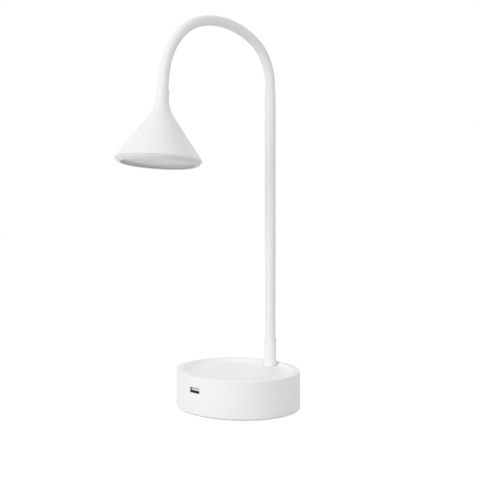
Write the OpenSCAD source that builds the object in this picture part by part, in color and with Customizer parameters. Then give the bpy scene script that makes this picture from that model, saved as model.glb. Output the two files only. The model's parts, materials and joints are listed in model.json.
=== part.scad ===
// Desk lamp with a round drum base, a flexible arched neck and a small funnel
// head. The dished top of the base is a shallow tray, and its wall holds a
// charging port. Origin: centre of the base on the table. Front is -Y, the
// neck rises at +Y, and X = 0 is the plane of the arch. Millimetres.

/* [Base] */
// Outer diameter of the drum base
base_d = 124; // [116:1:136]
// Height of the rim above the table
base_h = 37; // [36:0.5:42]
// Wall thickness of the moulded housing
wall = 2.5; // [2:0.25:3]
// Depth of the dished tray
tray_depth = 4; // [3:0.5:5]
// Width of the flat land around the tray
rim_land = 7.1; // [5:0.1:9]
// Width of the curved slope between the land and the tray floor
tray_slope = 11.4; // [9:0.2:14]
// Gap between the housing wall and the table
foot_gap = 1.2; // [0.8:0.1:2]
// Thickness of the steel ballast disc
ballast_t = 10; // [7:0.5:11]

/* [Ports] */
// Distance from the rim down to the centre of the charging port
port_drop = 12.8; // [12.6:0.1:13.4]
// Width of the charging port's metal shell
usb_a_w = 13.1; // [12.9:0.1:13.3]
// Height of the charging port's metal shell
usb_a_h = 5.7; // [5.6:0.05:5.8]
// Width of the power inlet's metal shell
usb_c_w = 8.94; // [8.8:0.02:9.1]
// Height of the power inlet's metal shell
usb_c_h = 3.26; // [3.1:0.02:3.4]

/* [Neck] */
// Diameter of the sleeved neck below the arch
neck_d = 11.3; // [10.8:0.1:12]
// Diameter of the sleeved neck in the arch
arch_d = 10; // [9.6:0.1:10.6]
// Length over which the neck narrows below the arch
taper_len = 16; // [8:1:24]
// Distance from the neck's axis in to the edge of the base
stem_inset = 11; // [10.8:0.1:14]
// Diameter of the round well that the neck stands in
well_d = 17.5; // [16.5:0.5:19]
// Diameter of the collar at the neck's foot
collar_d = 13.8; // [13.2:0.1:14.4]
// Height of the collar above the tray floor
collar_h = 29.5; // [24:0.5:34]
// Height at which the arch begins
arch_z = 327.4; // [300:1:350]
// Radius of the arch's first bend
arc1_r = 47.6; // [44:0.2:54]
// Angle of the arch's first bend
arc1_a = 63.4; // [58:0.2:66]
// Radius of the arch's flatter middle
arc2_r = 105.8; // [90:0.2:115]
// Angle of the arch's flatter middle
arc2_a = 41.3; // [36:0.1:43]
// Radius of the arch's last bend
arc3_r = 68.9; // [60:0.1:76]
// Angle of the arch's last bend
arc3_a = 70.1; // [68:0.1:72]
// Length of the straight neck between the arch and the head
neck_tail = 12; // [8:0.5:20]
// Height of the centre where the neck sways sideways
sway_z = 92; // [80:1:100]
// Height of the centre where the neck leans forward and back
lean_z = 146; // [130:1:160]
// Angle around the arch at which the head tilts
tilt_a = 148; // [140:1:156]

/* [Head] */
// Radius of the funnel at its widest edge
head_r = 41.1; // [38:0.1:46]
// Half angle of the funnel
cone_a = 36; // [33:0.5:38]
// Radius of the flare that joins the funnel to its throat
flare_r = 25; // [18:1:32]
// Radius of the throat
throat_r = 5.4; // [5.3:0.05:5.8]
// Length of the head from its widest edge to the throat's end
head_len = 64; // [62:0.5:70]
// Radius of the funnel's rounded lip
lip_r = 1.2; // [0.9:0.1:1.4]
// Wall thickness of the funnel
shade_t = 1.8; // [1.5:0.1:2.1]
// Depth of the ring below the funnel's lip
ring_drop = 3.4; // [3:0.1:4]
// Distance from the funnel's widest edge in to the light opening
mouth_inset = 6.5; // [6.3:0.1:7.1]
// Distance from the funnel's widest edge in to the ring's lowest edge
ring_inset = 4.4; // [4.1:0.1:4.7]
// Distance from the light opening in to the outer row of light chips
led_inset = 10.6; // [9:0.2:12]

/* [Clearances] */
// Gap between pieces that seat in one another
fit = 0.1; // [0.05:0.01:0.15]
// Gap between the neck's ball ends and their cups
knuckle_gap = 0.3; // [0.3:0.05:0.4]

/* [Hidden] */
$fn = 96;
eps = 0.01;

// base levels, from the table up
base_r = base_d / 2;
inner_r = base_r - wall;
cover_t = 2.2;
cover_z = foot_gap + 0.2;
cover_top = cover_z + cover_t;
groove = 0.8;
foot_h = cover_z + groove;
foot_out = inner_r - 2.3;
foot_in = foot_out - 6.4;
cover_r = inner_r - 0.3;
edge_w = 1.4;
edge_h = 2.2;
bevel = 0.4;
boss_ring = foot_in - 4.3;
ballast_r = boss_ring - 5;

// base levels, from the rim down
tray_z = base_h - tray_depth;
land_r = base_r - rim_land;
floor_r = land_r - tray_slope;
slope_r = (tray_slope * tray_slope + tray_depth * tray_depth)
          / (2 * tray_depth);
ceil_z = tray_z - wall;
edge_r = 1;
port_z = base_h - port_drop;
board_t = 1.6;
board_top = port_z - usb_a_h / 2;
board_z = board_top - board_t;
board_w = 40;
post_x = 16;
post_y = 26;
rib_t = 1.4;
rib_z = cover_top + 4;
usb_c_z = board_z - usb_c_h / 2;
shell_t = 0.3;
usb_a_mouth = base_r - 1.2;
usb_a_back = usb_a_mouth - 13.7;
usb_c_mouth = base_r - 0.9;
usb_c_back = usb_c_mouth - 7.05;

// neck fixing
stem_y = base_r - stem_inset;
well_floor = 3;
well_under = tray_z - well_floor;
neck_r = neck_d / 2;
arch_r = arch_d / 2;
hose_r = arch_r - 0.9;
hose_bore = hose_r - 1.3;
stud_r = 5;
stud_bore = 3.5;
nipple_r = 4;
nipple_bore = 3;
washer_t = 1;
nut_t = 4.6;
stud_z = well_under - washer_t - nut_t - 1;
stud_top = tray_z + 14;
collar_top = tray_z + collar_h;
washer_r = 7.6;
terminal_h = stud_z - board_top - 0.2;
lead_r = 1.9;
ball_r = neck_r + 0.75;
cup_r = ball_r + knuckle_gap;

// arch path in the plane X = 0, as [y, z] points and angles from +Y
function polar(c, r, a) = [c[0] + r * cos(a), c[1] + r * sin(a)];
c1 = [stem_y - arc1_r, arch_z];
a1 = arc1_a;
c2 = polar(c1, arc1_r - arc2_r, a1);
a2 = a1 + arc2_a;
c3 = polar(c2, arc2_r - arc3_r, a2);
a3 = a2 + arc3_a;
arch_end = polar(c3, arc3_r, a3);
heading = [-sin(a3), cos(a3)];
rim_c = arch_end + (neck_tail + head_len) * heading;
head_tilt = 180 - a3;
crown_c = polar(c1, arc1_r, a1);
tilt_c = polar(c3, arc3_r, tilt_a);

// head levels, measured up the head's axis from its widest edge
inner_off = shade_t / cos(cone_a);
flare_t = (head_r - throat_r) / tan(cone_a);
flare_len = flare_r * tan(cone_a / 2);
lip_t = lip_r * (1 - cos(cone_a)) / tan(cone_a) - lip_r * sin(cone_a);
lip_z = lip_t - lip_r;
ceil_t = flare_t - 7;
nipple_top = head_len - 10;
ring_z = lip_z - ring_drop;
ring_r = head_r - ring_inset;
mouth_r = head_r - mouth_inset;
pocket_r = mouth_r + 0.6;
step_r = pocket_r + 0.5;
spigot_r = step_r + 1;
recess = 3.2;
ledge_z = ring_z + recess;
diffuser_t = 1.5;
step_z = ledge_z + 2.1;
led_t = 1.4;
plate_t = 2;
spigot_z = step_z + led_t + 0.8;
clamp_z = step_z + led_t + plate_t + fit;
clamp_r = step_r - 1.3;
seat_r = head_r - 2.9;
seat_t = (head_r - inner_off - seat_r) / tan(cone_a);
catch_z = 0.5;
catch_a = 18;
led_outer_r = mouth_r - led_inset;
led_inner_r = led_outer_r / 2;
led_screw_r = mouth_r - 4.6;

module at_boss(i) {
  rotate([0, 0, 45 + 90 * i])
    translate([boss_ring, 0, 0])
      children();
}

module at_post(i) {
  sx = (i % 2 == 0) ? 1 : -1;
  sy = (i < 2) ? 1 : -1;
  translate([sx * post_x, sy * post_y, 0])
    children();
}

// Tube, or a plain rod where ri is 0
module ring(ro, ri, h) {
  difference() {
    cylinder(r = ro, h = h);
    if (ri > 0)
      translate([0, 0, -1])
        cylinder(r = ri, h = h + 2);
  }
}

module hex(af, bore, h) {
  difference() {
    cylinder(d = af / cos(30), h = h, $fn = 6);
    translate([0, 0, -1])
      cylinder(r = bore, h = h + 2);
  }
}

// flat box with rounded corners, standing along Y
module port_block(w, h, r, len) {
  rotate([90, 0, 0])
    linear_extrude(height = len)
      union() {
        square([w - 2 * r, h], center = true);
        square([w, h - 2 * r], center = true);
        for (sx = [-1, 1])
          for (sz = [-1, 1])
            translate([sx * (w / 2 - r), sz * (h / 2 - r)])
              circle(r = r);
      }
}

// countersunk screw, head down at z = 0, pointing up
module flat_screw(r, head_r2, len) {
  difference() {
    union() {
      cylinder(r1 = head_r2, r2 = r, h = head_r2 - r);
      cylinder(r = r, h = len);
    }
    translate([0, 0, -eps])
      cylinder(r = r * 0.75, h = 0.9, $fn = 6);
  }
}

// pan-head screw, head underside at z = 0, pointing up
module pan_screw(r, head_r2, head_t, len) {
  difference() {
    union() {
      translate([0, 0, -head_t])
        cylinder(r = head_r2, h = head_t);
      cylinder(r = r, h = len);
    }
    translate([0, 0, -head_t - eps])
      cylinder(r = r * 0.75, h = 0.8, $fn = 6);
  }
}

module drum_profile() {
  difference() {
    union() {
      translate([0, foot_gap])
        square([base_r - edge_r, base_h - foot_gap]);
      translate([0, foot_gap + 0.6])
        square([base_r, base_h - foot_gap - 0.6 - edge_r]);
      polygon([[base_r - 1.2, foot_gap], [base_r - 0.6, foot_gap],
        [base_r, foot_gap + 0.6], [base_r - 1.2, foot_gap + 0.6]]);
      translate([base_r - edge_r, base_h - edge_r])
        circle(r = edge_r);
    }
    // tray: flat floor, then a slope that curves up to the land
    translate([0, tray_z])
      square([floor_r, tray_depth + 1]);
    intersection() {
      translate([floor_r, tray_z + slope_r])
        circle(r = slope_r);
      translate([floor_r - eps, tray_z - 1])
        square([tray_slope + 20, tray_depth + 1 + eps]);
    }
    // inside
    difference() {
      translate([0, foot_gap - 1])
        square([inner_r, base_h - foot_gap - wall + 1]);
      translate([0, ceil_z])
        square([floor_r, 20]);
      intersection() {
        translate([floor_r, tray_z + slope_r])
          circle(r = slope_r + wall);
        translate([floor_r - eps, ceil_z])
          square([tray_slope + 20, 20]);
      }
    }
  }
}

// Half section of the space that ribs and bosses may fill: it ends in the
// middle of the housing's wall and ceiling
module rib_space() {
  difference() {
    square([base_r - wall / 2, base_h - wall / 2]);
    translate([0, tray_z - wall / 2])
      square([floor_r, base_h]);
    intersection() {
      translate([floor_r, tray_z + slope_r])
        circle(r = slope_r + wall / 2);
      translate([floor_r - eps, tray_z - wall / 2])
        square([tray_slope + 20, base_h]);
    }
  }
}

module housing_ribs() {
  // from each screw boss out to the wall
  for (i = [0:3])
    at_boss(i)
      translate([0, -rib_t / 2, rib_z])
        cube([base_r - boss_ring, rib_t, base_h]);
  // on both sides of the stud's washer
  for (sx = [-1, 1])
    translate([sx * (washer_r + 2.4) - rib_t / 2, stem_y - 24, well_under - 3])
      cube([rib_t, base_r, base_h]);
  // on both sides of the charging port's shell
  for (sx = [-1, 1])
    translate([sx * (usb_a_w / 2 + 0.35 + rib_t / 2) - rib_t / 2, -base_r,
      board_top + 0.3])
      cube([rib_t, wall + 9, base_h]);
}

module base_housing() {
  color("white")
    difference() {
      union() {
        rotate_extrude($fn = 180)
          drum_profile();
        intersection() {
          rotate_extrude($fn = 180)
            rib_space();
          housing_ribs();
        }
        // thick ring under the neck's well
        intersection() {
          translate([0, stem_y, well_under])
            cylinder(r = well_d / 2 + 2.5, h = base_h - well_under - 1.2);
          translate([0, 0, well_under])
            cylinder(r = inner_r + 1, h = 20);
        }
        for (i = [0:3])
          at_boss(i)
            translate([0, 0, cover_top + fit])
              cylinder(r = 4, h = ceil_z + 1 - cover_top - fit);
        for (i = [0:3])
          at_post(i)
            translate([0, 0, board_top])
              cylinder(r = 3, h = ceil_z + 1 - board_top);
      }
      // well and bore for the neck
      translate([0, stem_y, tray_z])
        cylinder(d = well_d, h = 20);
      translate([0, stem_y, well_under - 5])
        cylinder(r = stud_r + 0.2, h = 20);
      for (i = [0:3])
        at_boss(i)
          cylinder(r = 1.35, h = cover_top + 9);
      for (i = [0:3])
        at_post(i)
          translate([0, 0, board_top - 1])
            cylinder(r = 1.05, h = 7);
      // charging port: tight opening outside, pocket behind it
      translate([0, -base_r + 5, port_z])
        port_block(usb_a_w - 0.2, usb_a_h - 0.2, 0.5, 10);
      translate([0, -base_r + 1.1 + 9, port_z])
        port_block(usb_a_w + 0.4, usb_a_h + 0.4, 0.4, 9);
      // power inlet at the back
      translate([0, base_r + 5, usb_c_z])
        port_block(usb_c_w + 0.6, usb_c_h + 0.6, usb_c_h / 2 + 0.29, 14);
    }
}

module bottom_cover() {
  color("whitesmoke")
    difference() {
      rotate_extrude($fn = 180)
        polygon([[0, cover_z], [cover_r - bevel, cover_z],
          [cover_r, cover_z + bevel], [cover_r, cover_top + edge_h],
          [cover_r - edge_w, cover_top + edge_h], [cover_r - edge_w, cover_top],
          [0, cover_top]]);
      translate([0, 0, cover_z - 1])
        ring(foot_out + 0.2, foot_in - 0.2, groove + 1);
      for (i = [0:3])
        at_boss(i) {
          cylinder(r = 1.6, h = 10);
          translate([0, 0, cover_z - eps])
            cylinder(r1 = 3.1, r2 = 1.6, h = 1.5);
        }
      for (i = [0:2])
        rotate([0, 0, 120 * i + 90])
          translate([25, 0, 0]) {
            cylinder(r = 1.6, h = 10);
            translate([0, 0, cover_z - eps])
              cylinder(r1 = 3.1, r2 = 1.6, h = 1.5);
          }
    }
}

module foot_ring() {
  color("dimgray")
    rotate_extrude()
      polygon([[foot_in + bevel, 0], [foot_out - bevel, 0], [foot_out, bevel],
        [foot_out, foot_h], [foot_in, foot_h], [foot_in, bevel]]);
}

module ballast_plate() {
  color("silver")
    difference() {
      translate([0, 0, cover_top])
        cylinder(r = ballast_r, h = ballast_t);
      for (i = [0:2])
        rotate([0, 0, 120 * i + 90])
          translate([25, 0, 0])
            cylinder(r = 1.55, h = 40);
    }
}

module cover_screw(i) {
  color("silver")
    at_boss(i)
      translate([0, 0, cover_z + 0.12])
        flat_screw(1.3, 2.7, 9);
}

module ballast_screw(i) {
  color("silver")
    rotate([0, 0, 120 * i + 90])
      translate([25, 0, cover_z + 0.12])
        flat_screw(1.5, 2.9, 9);
}

module driver_board() {
  color("darkgreen")
    difference() {
      intersection() {
        translate([0, 0, board_z])
          cylinder(r = inner_r - 1, h = board_t);
        translate([-board_w / 2, -base_r, 0])
          cube([board_w, base_d, 60]);
      }
      for (i = [0:3])
        at_post(i)
          translate([0, 0, board_z - 1])
            cylinder(r = 1.3, h = 4);
    }
}

module board_screw(i) {
  color("silver")
    at_post(i)
      translate([0, 0, board_z])
        pan_screw(1, 2, 1.2, board_t + 5);
}

module power_choke() {
  color("saddlebrown")
    translate([8, 6, board_top])
      difference() {
        union() {
          cylinder(r = 3, h = 6.5);
          cylinder(r = 5.5, h = 1.2);
          translate([0, 0, 5.3])
            cylinder(r = 5.5, h = 1.2);
        }
        translate([0, 0, 5.5])
          cylinder(r = 1, h = 2);
      }
}

module capacitor() {
  color("steelblue")
    translate([-8, 4, board_top])
      union() {
        cylinder(r = 3.4, h = 7);
        translate([-3.6, -3.6, 0])
          cube([7.2, 7.2, 0.8]);
      }
}

// Controller with four legs on each side
module driver_chip() {
  body = [4.9, 3.9, 1.5];
  leg = [0.42, 6, 0.25];
  pitch = 1.27;
  color("dimgray")
    translate([-9, -17, board_top])
      union() {
        translate([-body[0] / 2, -body[1] / 2, 0.1])
          cube(body);
        for (i = [0:3])
          translate([(i - 1.5) * pitch - leg[0] / 2, -leg[1] / 2, 0])
            cube(leg);
      }
}

// Block on the board that the neck's lead is wired to
module lead_terminal() {
  block = [7, 5.6];
  color("ivory")
    translate([0, stem_y, board_top])
      difference() {
        translate([-block[0] / 2, -block[1] / 2, 0])
          cube([block[0], block[1], terminal_h]);
        for (sx = [-1, 1])
          translate([sx * 1.9 - 0.6, -block[1] / 2 - 1, 0.5])
            cube([1.2, 2.2, 0.8]);
      }
}

module usb_a_shell() {
  color("silver")
    difference() {
      translate([0, -usb_a_back + shell_t, port_z])
        port_block(usb_a_w, usb_a_h, 0.4, usb_a_mouth - usb_a_back + shell_t);
      translate([0, -usb_a_back, port_z])
        port_block(usb_a_w - 2 * shell_t, usb_a_h - 2 * shell_t, 0.2, 14);
    }
}

module usb_a_tongue() {
  color("white")
    union() {
      translate([-usb_a_w / 2 + shell_t + 0.05, -usb_a_back - 2.65,
        port_z - usb_a_h / 2 + shell_t + 0.05])
        cube([usb_a_w - 2 * shell_t - 0.1, 2.6, usb_a_h - 2 * shell_t - 0.1]);
      translate([-5.55, 1.4 - usb_a_mouth, port_z + 0.1])
        cube([11.1, 10, 1.84]);
    }
}

module usb_c_shell() {
  color("silver")
    difference() {
      translate([0, usb_c_mouth, usb_c_z])
        port_block(usb_c_w, usb_c_h, usb_c_h / 2 - eps,
          usb_c_mouth - usb_c_back + shell_t);
      translate([0, base_r, usb_c_z])
        port_block(usb_c_w - 2 * shell_t, usb_c_h - 2 * shell_t,
          usb_c_h / 2 - shell_t - eps, base_r - usb_c_back);
    }
}

module usb_c_tongue() {
  color("dimgray")
    union() {
      translate([-3.35, usb_c_back + 0.05, usb_c_z - 0.35])
        cube([6.7, 6.3, 0.7]);
      translate([-2.6, usb_c_back + 0.05, usb_c_z - 1.2])
        cube([5.2, 1.3, 2.4]);
    }
}

module touch_pad() {
  color("peru")
    translate([0, -8, ceil_z - 0.4])
      cylinder(r = 13, h = 0.4);
}

module touch_pin() {
  color("gold")
    translate([0, -14, board_top])
      union() {
        cylinder(r = 1.6, h = 4);
        cylinder(r = 0.9, h = ceil_z - 0.4 - board_top);
      }
}

module stem_stud() {
  color("silver")
    translate([0, stem_y, stud_z])
      ring(stud_r, stud_bore, stud_top - stud_z);
}

module stem_washer() {
  color("silver")
    translate([0, stem_y, well_under - washer_t])
      ring(washer_r, stud_r + fit, washer_t);
}

module stem_nut() {
  color("silver")
    translate([0, stem_y, well_under - washer_t - nut_t])
      hex(13, stud_r + 0.05, nut_t);
}

module neck_collar() {
  color("white")
    translate([0, stem_y, 0])
      rotate_extrude()
        difference() {
          union() {
            translate([0, tray_z])
              square([collar_d / 2, collar_h - 0.6]);
            translate([0, tray_z])
              square([collar_d / 2 - 0.6, collar_h]);
            translate([collar_d / 2 - 0.6, collar_top - 0.6])
              circle(r = 0.6);
          }
          translate([0, tray_z - 1])
            square([stud_r + 0.05, stud_top - tray_z + 1.1]);
          translate([0, tray_z])
            square([hose_r + 0.05, collar_h + 1]);
        }
}

// What a ball end takes off a tube that runs on past its centre
module past_ball() {
  difference() {
    cylinder(r = 12, h = 14);
    sphere(r = ball_r);
  }
}

// Upright tube of the neck: ball = round top end, cup = hollow lower end
module upright_tube(ro, ri, z0, z1, ball, cup) {
  translate([0, stem_y, 0])
    rotate_extrude()
      difference() {
        translate([ri, z0])
          square([ro - ri, z1 - z0 + (ball ? ball_r : 0)]);
        if (ball)
          difference() {
            translate([0, z1])
              square([12, 14]);
            translate([0, z1])
              circle(r = ball_r);
          }
        if (cup)
          translate([0, z0])
            circle(r = cup_r);
      }
}

// Frame of a bend: origin at its centre c, +X towards the path at angle a,
// +Y along the path
module bend_frame(c, a) {
  translate([0, c[0], c[1]])
    rotate([90, 0, 90])
      rotate([0, 0, a])
        children();
}

// Bend of radius r that starts on +X and turns through sweep
module bend(r, sweep, ro, ri) {
  rotate_extrude(angle = sweep, $fn = 180)
    translate([r, 0])
      difference() {
        circle(r = ro);
        if (ri > 0)
          circle(r = ri);
      }
}

// Neck from the lean centre up and round to the crown centre: it narrows
// from ro to ra below the arch
module stalk_tube(ro, ra, ri) {
  difference() {
    union() {
      translate([0, stem_y, 0])
        rotate_extrude()
          difference() {
            polygon([[ri, lean_z], [ro, lean_z], [ro, arch_z - taper_len],
              [ra, arch_z], [ri, arch_z]]);
            translate([0, lean_z])
              circle(r = cup_r);
          }
      bend_frame(c1, 0)
        bend(arc1_r, a1 + 9, ra, ri);
    }
    translate([0, crown_c[0], crown_c[1]])
      rotate([a1, 0, 0])
        past_ball();
  }
}

// Neck over the crown of the arch, to the centre where the head tilts
module crown_tube(ro, ri) {
  difference() {
    bend_frame(c2, a2) {
      bend(arc2_r, -arc2_a, ro, ri);
      translate([arc2_r - arc3_r, 0, 0])
        bend(arc3_r, tilt_a - a2 + 7, ro, ri);
    }
    translate([0, crown_c[0], crown_c[1]])
      rotate([a1, 0, 0])
        sphere(r = cup_r);
    translate([0, tilt_c[0], tilt_c[1]])
      rotate([tilt_a, 0, 0])
        past_ball();
  }
}

// Neck from the tilt centre into the head
module tail_tube(ro, ri, len) {
  difference() {
    bend_frame(c3, a3) {
      bend(arc3_r, tilt_a - a3, ro, ri);
      translate([arc3_r, 0, 0])
        rotate([-90, 0, 0])
          ring(ro, ri, len);
    }
    translate([0, tilt_c[0], tilt_c[1]])
      rotate([tilt_a, 0, 0])
        sphere(r = cup_r);
  }
}

module neck_sleeve_1() {
  color("white")
    upright_tube(neck_r, hose_r + 0.05, collar_top, sway_z, true, false);
}

module neck_sleeve_2() {
  color("white")
    upright_tube(neck_r, hose_r + 0.05, sway_z, lean_z, true, true);
}

module neck_sleeve_3() {
  color("white")
    stalk_tube(neck_r, arch_r, hose_r + 0.05);
}

module neck_sleeve_4() {
  color("white")
    crown_tube(arch_r, hose_r + 0.05);
}

module neck_sleeve_5() {
  color("white")
    tail_tube(arch_r, hose_r + 0.05, neck_tail - fit);
}

module neck_hose_1() {
  color("silver")
    upright_tube(hose_r, hose_bore, stud_top + fit, sway_z, true, false);
}

module neck_hose_2() {
  color("silver")
    upright_tube(hose_r, hose_bore, sway_z, lean_z, true, true);
}

module neck_hose_3() {
  color("silver")
    stalk_tube(hose_r, hose_r, hose_bore);
}

module neck_hose_4() {
  color("silver")
    crown_tube(hose_r, hose_bore);
}

module neck_hose_5() {
  color("silver")
    tail_tube(hose_r, hose_bore, neck_tail + head_len - nipple_top - fit);
}

module neck_lead_1() {
  color("dimgray")
    upright_tube(lead_r, 0, board_top + terminal_h, sway_z, true, false);
}

module neck_lead_2() {
  color("dimgray")
    upright_tube(lead_r, 0, sway_z, lean_z, true, true);
}

module neck_lead_3() {
  color("dimgray")
    stalk_tube(lead_r, lead_r, 0);
}

module neck_lead_4() {
  color("dimgray")
    crown_tube(lead_r, 0);
}

module neck_lead_5() {
  color("dimgray")
    tail_tube(lead_r, 0, neck_tail + head_len - step_z - led_t / 2);
}

module in_head() {
  translate([0, rim_c[0], rim_c[1]])
    rotate([-head_tilt, 0, 0])
      children();
}

module shade_outline() {
  fc = [throat_r + flare_r, flare_t + flare_len];
  f1 = [throat_r, flare_t + flare_len];
  f2 = [throat_r + flare_len * sin(cone_a), flare_t - flare_len * cos(cone_a)];
  lc = [head_r - lip_r, lip_t];
  l1 = [lc[0] + lip_r * cos(cone_a), lc[1] + lip_r * sin(cone_a)];
  difference() {
    union() {
      polygon([[0, lip_z], [lc[0], lip_z], lc, l1, f2, fc, f1,
        [throat_r, head_len], [0, head_len]]);
      translate(lc)
        circle(r = lip_r);
    }
    translate(fc)
      circle(r = flare_r);
  }
}

// Radius of the funnel's inner face at height t
function inner_at(t) = head_r - inner_off - t * tan(cone_a);

module lamp_shade() {
  clamp_top = (head_r - inner_off - clamp_r) / tan(cone_a);
  color("white")
    in_head()
      union() {
        rotate_extrude($fn = 180)
          difference() {
            shade_outline();
            // the shoulder at clamp_z holds the metal plate down
            polygon([[0, lip_z - 1], [seat_r, lip_z - 1], [seat_r, seat_t],
              [inner_at(clamp_z), clamp_z], [clamp_r, clamp_z],
              [clamp_r, clamp_top], [inner_at(ceil_t), ceil_t], [0, ceil_t]]);
            translate([0, ceil_t - 1])
              square([nipple_r + 0.05, nipple_top - ceil_t + 1 + fit]);
            translate([0, ceil_t])
              square([hose_r + 0.05, head_len]);
          }
        // catches that the ring's barbs snap over
        for (i = [0:3])
          rotate([0, 0, 90 * i + 45 - catch_a / 2])
            rotate_extrude(angle = catch_a)
              polygon([[spigot_r + fit, -catch_z], [seat_r + 0.5, -catch_z],
                [seat_r + 0.5, catch_z], [spigot_r + fit + 0.3, catch_z],
                [spigot_r + fit, catch_z - 0.3]]);
      }
}

module bezel_ring() {
  // the visible band bulges on an arc between the lip and the opening
  top_r = head_r - lip_r - 0.1;
  band_r = 4;
  p0 = [top_r, lip_z];
  p1 = [ring_r + 0.5, ring_z];
  mid = (p0 + p1) / 2;
  d = p1 - p0;
  half = norm(d) / 2;
  nrm = [d[1], -d[0]] / norm(d);
  bc = mid + nrm * sqrt(band_r * band_r - half * half);
  barb_z = catch_z + fit;
  color("white")
    in_head()
      union() {
        rotate_extrude($fn = 180)
          difference() {
            union() {
              intersection() {
                translate([mouth_r, ring_z])
                  square([top_r - mouth_r, lip_z - ring_z]);
                union() {
                  translate(bc)
                    circle(r = band_r);
                  translate([0, ring_z])
                    square([ring_r - 2, head_len]);
                }
              }
              translate([mouth_r, ledge_z - 0.5])
                square([spigot_r - mouth_r, spigot_z - ledge_z + 0.5]);
            }
            translate([0, ledge_z])
              square([pocket_r, head_len]);
            translate([0, step_z])
              square([step_r, head_len]);
          }
        // barbs that hold the ring behind the funnel's catches
        for (i = [0:3])
          rotate([0, 0, 90 * i + 45 - catch_a / 2 + 2])
            rotate_extrude(angle = catch_a - 4)
              polygon([[spigot_r - 0.4, barb_z], [spigot_r + 0.6, barb_z],
                [spigot_r + 0.6, barb_z + 0.4], [spigot_r - 0.4, barb_z + 1.4]]);
      }
}

module diffuser() {
  color("gainsboro")
    in_head()
      translate([0, 0, ledge_z])
        cylinder(r = pocket_r - fit, h = diffuser_t);
}

module led_board() {
  color("lightyellow")
    in_head()
      difference() {
        union() {
          translate([0, 0, step_z])
            cylinder(r = step_r - fit, h = led_t);
          for (i = [0:11])
            rotate([0, 0, 30 * i])
              translate([led_outer_r - 1.4, -1.75, step_z - 0.45])
                cube([2.8, 3.5, 0.6]);
          for (i = [0:5])
            rotate([0, 0, 60 * i + 15])
              translate([led_inner_r - 1.4, -1.75, step_z - 0.45])
                cube([2.8, 3.5, 0.6]);
        }
        for (i = [0:2])
          rotate([0, 0, 120 * i + 30])
            translate([led_screw_r, 0, step_z - 1])
              cylinder(r = 1.25, h = led_t + 2);
        translate([0, 0, step_z - 1])
          cylinder(r = lead_r + fit, h = led_t + 2);
      }
}

module heat_spreader() {
  color("silver")
    in_head()
      translate([0, 0, step_z + led_t])
        difference() {
          union() {
            cylinder(r = step_r - 0.2, h = plate_t);
            for (i = [0:2])
              rotate([0, 0, 120 * i + 30])
                translate([led_screw_r - 2, 0, 0])
                  cylinder(r = 2.4, h = plate_t + 1.6);
            ring(led_inner_r + 2, led_inner_r + 0.4, plate_t + 9);
          }
          for (i = [0:2])
            rotate([0, 0, 120 * i + 30])
              translate([led_screw_r, 0, -1])
                cylinder(r = 1.05, h = plate_t + 0.9);
          translate([0, 0, -1])
            cylinder(r = lead_r + 3 * fit, h = plate_t + 2);
        }
}

module led_screw(i) {
  color("silver")
    in_head()
      rotate([0, 0, 120 * i + 30])
        translate([led_screw_r, 0, step_z])
          pan_screw(1, 1.8, 0.5, led_t + plate_t - 0.3);
}

module head_nipple() {
  color("silver")
    in_head()
      translate([0, 0, ceil_t - nut_t - 1])
        ring(nipple_r, nipple_bore, nipple_top - ceil_t + nut_t + 1);
}

module head_nut() {
  color("silver")
    in_head()
      translate([0, 0, ceil_t - nut_t])
        hex(12, nipple_r + 0.05, nut_t);
}

base_housing();
bottom_cover();
foot_ring();
ballast_plate();
cover_screw(0);  // cover_screw_1
cover_screw(1);  // cover_screw_2
cover_screw(2);  // cover_screw_3
cover_screw(3);  // cover_screw_4
ballast_screw(0);  // ballast_screw_1
ballast_screw(1);  // ballast_screw_2
ballast_screw(2);  // ballast_screw_3
driver_board();
board_screw(0);  // board_screw_1
board_screw(1);  // board_screw_2
board_screw(2);  // board_screw_3
board_screw(3);  // board_screw_4
power_choke();
capacitor();
driver_chip();
lead_terminal();
usb_a_shell();
usb_a_tongue();
usb_c_shell();
usb_c_tongue();
touch_pad();
touch_pin();
stem_stud();
stem_washer();
stem_nut();
neck_collar();
neck_sleeve_1();
neck_sleeve_2();
neck_sleeve_3();
neck_sleeve_4();
neck_sleeve_5();
neck_hose_1();
neck_hose_2();
neck_hose_3();
neck_hose_4();
neck_hose_5();
neck_lead_1();
neck_lead_2();
neck_lead_3();
neck_lead_4();
neck_lead_5();
lamp_shade();
bezel_ring();
diffuser();
led_board();
heat_spreader();
head_nipple();
head_nut();
led_screw(0);  // led_screw_1
led_screw(1);  // led_screw_2
led_screw(2);  // led_screw_3
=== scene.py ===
"""Looks of a white desk lamp: a drum base with a dished tray top and a charging port, a sleeved
gooseneck and a small funnel head.

Sizes here are in millimetres, as on the drawing of the part, and meshes are written in metres in
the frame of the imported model. The origin is the centre of the base on the table, the front with the
charging port faces -Y, and the neck rises at +Y and arches in the plane X = 0.
"""

import json
import math

import bpy
import numpy as np
from mathutils import Matrix, Vector
from mathutils.geometry import delaunay_2d_cdt

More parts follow.
